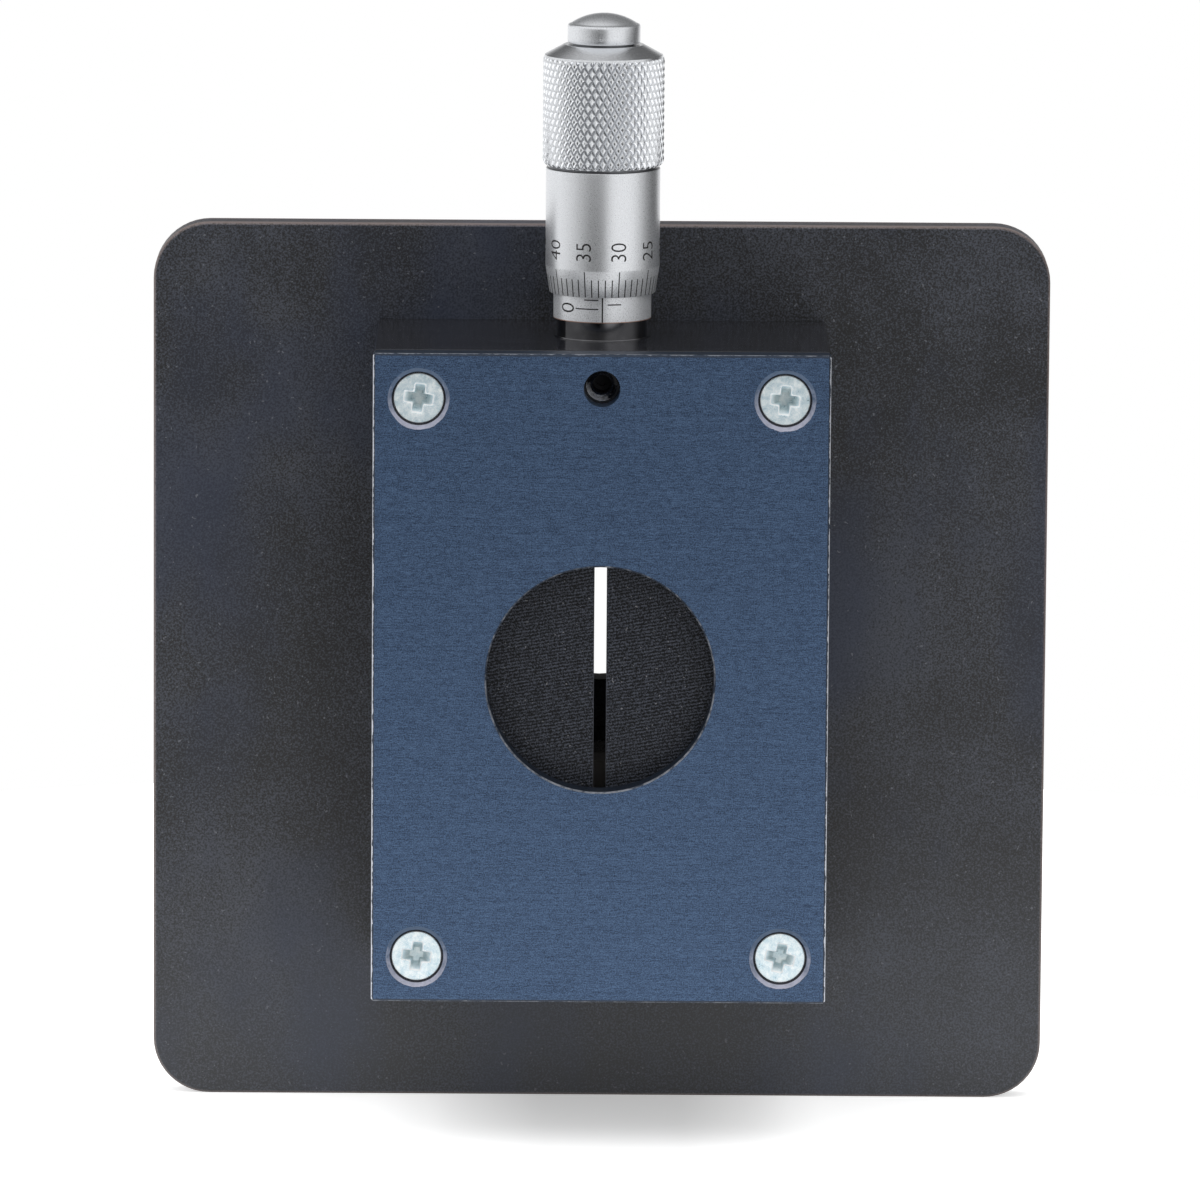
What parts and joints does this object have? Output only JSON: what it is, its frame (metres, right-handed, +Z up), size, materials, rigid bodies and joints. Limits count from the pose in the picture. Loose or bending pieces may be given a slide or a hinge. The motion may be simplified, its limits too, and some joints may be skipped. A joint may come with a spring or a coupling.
{
  "type": "variable slit",
  "caption": "Square plate carrying a block with a round aperture and a vertical slit whose two knife-edge jaws open evenly by a micrometer head on top.",
  "frame": {"origin": "on the optical axis at the base plate's rear face, in the centre of the aperture's projection", "axes": "+Y along the optical axis out of the rear face, +X to the right seen from the front, +Z up towards the micrometer"},
  "size_m": [0.1, 0.032, 0.124],
  "materials": {
    "plate_black": "black anodised, satin",
    "block_black": "black anodised, semi-gloss",
    "cover_blue": "blue-grey anodised, brushed",
    "jaw_black": "blackened, finely tooled",
    "zinc_steel": "zinc plated",
    "chrome": "satin chrome",
    "steel": "ground",
    "brass": "turned"
  },
  "bodies": {
    "root": {"base_plate": "plate_black", "body_block": "block_black", "front_cover": "cover_blue", "cover_screws": "zinc_steel", "plate_screws": "zinc_steel", "rail_screws": "zinc_steel", "clamp_screw": "steel", "upper_rail": "steel", "lower_rail": "steel", "left_return_spring": "steel", "right_return_spring": "steel", "micrometer_barrel": "chrome", "graduated_sleeve": "chrome", "adjusting_nut": "brass"},
    "carriage": {"cam_carriage": "brass", "contact_button": "steel"},
    "thimble": {"thimble": "chrome", "thimble_cap": "chrome", "spindle": "steel"},
    "left_jaw": {"left_carrier": "block_black", "left_blade": "jaw_black", "left_blade_screws": "zinc_steel", "left_cam_pin": "steel"},
    "right_jaw": {"right_carrier": "block_black", "right_blade": "jaw_black", "right_blade_screws": "zinc_steel", "right_cam_pin": "steel"}
  },
  "joints": [
    {"name": "spindle_feed", "type": "slide", "parent": "root", "child": "carriage", "axis": [0, 0, 1], "range_m": [-0.00132, 0.00368], "deforming": ["left_return_spring", "right_return_spring"]},
    {"name": "thimble_turn", "type": "hinge", "parent": "carriage", "child": "thimble", "pos_m": [0, -0.0165, 0.045], "axis": [0, 0, 1], "range_deg": [-951.4, 2650.6]},
    {"name": "left_jaw_slide", "type": "slide", "parent": "root", "child": "left_jaw", "axis": [-1, 0, 0], "range_m": [-0.00066, 0.00184]},
    {"name": "right_jaw_slide", "type": "slide", "parent": "root", "child": "right_jaw", "axis": [1, 0, 0], "range_m": [-0.00066, 0.00184]}
  ],
  "couplings": [
    {"joint": "thimble_turn", "follows": "spindle_feed", "rad_per_m": 12566},
    {"joint": "left_jaw_slide", "follows": "spindle_feed", "ratio": 0.5},
    {"joint": "right_jaw_slide", "follows": "spindle_feed", "ratio": 0.5}
  ]
}
